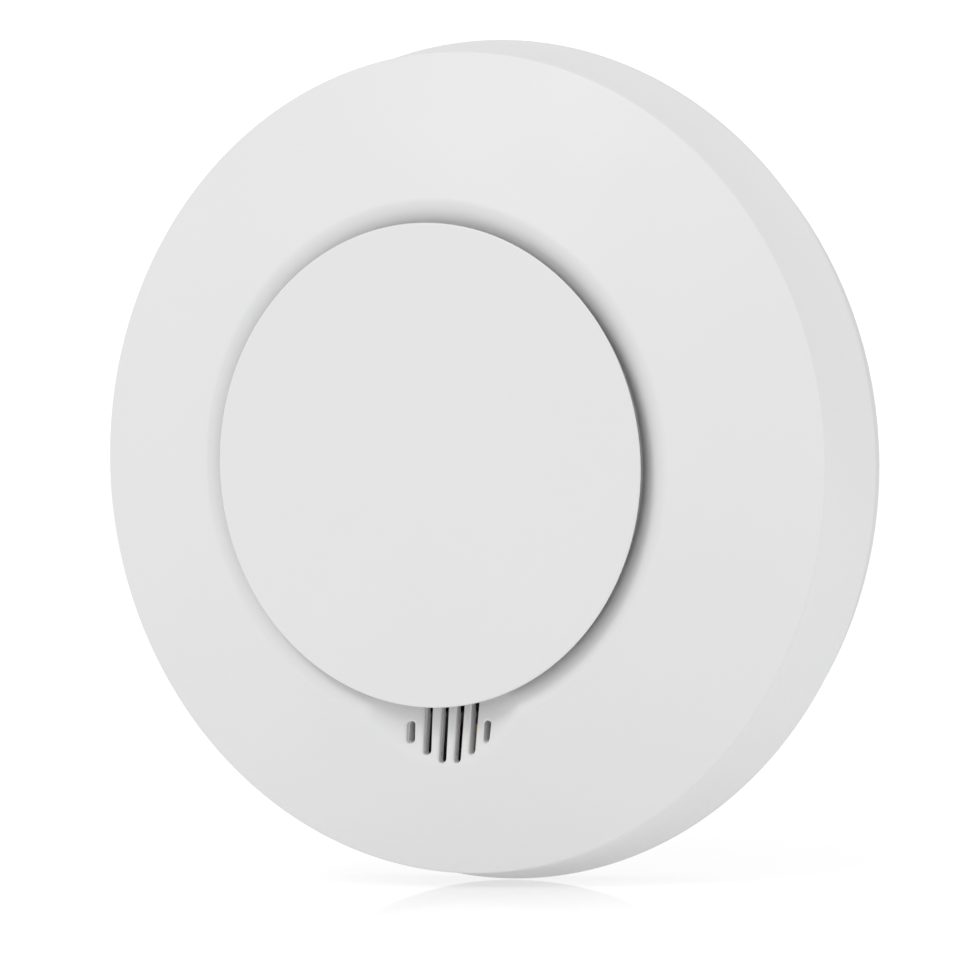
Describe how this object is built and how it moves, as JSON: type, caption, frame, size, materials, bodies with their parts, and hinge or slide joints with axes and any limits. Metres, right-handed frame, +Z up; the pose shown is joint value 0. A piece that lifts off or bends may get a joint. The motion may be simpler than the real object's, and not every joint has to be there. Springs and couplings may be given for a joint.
{
  "type": "smoke alarm",
  "caption": "Slim round white smoke alarm: sloping casing, large round push-to-test cover over the smoke inlet, slotted sound outlet, and a bayonet mounting plate.",
  "frame": {"origin": "centre of the mounting plate's back face, on the wall", "axes": "+Z up, -Y out of the wall through the alarm's face, sound outlet at the bottom (-Z)"},
  "size_m": [0.12, 0.0257, 0.12],
  "materials": {
    "white_plastic": "fine matt moulded white plastic",
    "button_plastic": "fine matt moulded white plastic",
    "plate_plastic": "matt moulded white plastic",
    "magnet": "nickel-plated magnet",
    "screw_steel": "bright zinc plating",
    "board": "green solder resist",
    "black_plastic": "moulded black epoxy",
    "ferrite": "dark grey ferrite",
    "can_metal": "bare aluminium can",
    "ceramic": "tan ceramic with tinned ends",
    "chamber_black": "matt black moulding",
    "mesh_steel": "fine etched steel mesh",
    "emitter_resin": "dark clear resin",
    "sounder_plastic": "natural moulded plastic",
    "brass": "plain brass",
    "foam": "closed-cell foam",
    "cell_steel": "steel can in a printed sleeve, left plain",
    "nickel": "pure nickel strip",
    "led_resin": "diffused resin",
    "clear_plastic": "polished clear acrylic",
    "reed_glass": "greenish glass tube",
    "spring_steel": "bright spring wire"
  },
  "bodies": {
    "plate": {"mounting_plate": "plate_plastic", "start_magnet": "magnet"},
    "alarm": {"front_cover": "white_plastic", "rear_housing": "white_plastic", "cover_screws": "screw_steel", "circuit_board": "board", "board_screws": "screw_steel", "controller_chip": "black_plastic", "boost_coil": "ferrite", "storage_capacitor": "can_metal", "chip_parts": "ceramic", "chamber_base": "chamber_black", "chamber_cap": "chamber_black", "insect_mesh": "mesh_steel", "infrared_emitter": "emitter_resin", "photodiode": "black_plastic", "sounder_housing": "sounder_plastic", "piezo_disc": "brass", "sounder_gasket": "foam", "sounder_contacts": "brass", "left_cell": "cell_steel", "right_cell": "cell_steel", "cell_tabs": "nickel", "status_led": "led_resin", "light_pipe": "clear_plastic", "reed_switch": "reed_glass", "switch_body": "black_plastic", "return_springs": "spring_steel"},
    "button": {"test_button": "button_plastic"},
    "plunger": {"switch_plunger": "button_plastic"}
  },
  "joints": [
    {"name": "bayonet_twist", "type": "hinge", "parent": "plate", "child": "alarm", "pos_m": [0, 0, 0], "axis": [0, -1, 0], "range_deg": [0, 18]},
    {"name": "test_press", "type": "slide", "parent": "alarm", "child": "button", "axis": [0, 1, 0], "range_m": [0, 0.0006], "stiffness_N_per_m": 1500, "springref_m": -0.0006, "deforming": ["return_springs"]},
    {"name": "switch_stroke", "type": "slide", "parent": "alarm", "child": "plunger", "axis": [0, 1, 0], "range_m": [0, 0.0006]}
  ],
  "couplings": [
    {"joint": "switch_stroke", "follows": "test_press", "ratio": 1}
  ]
}
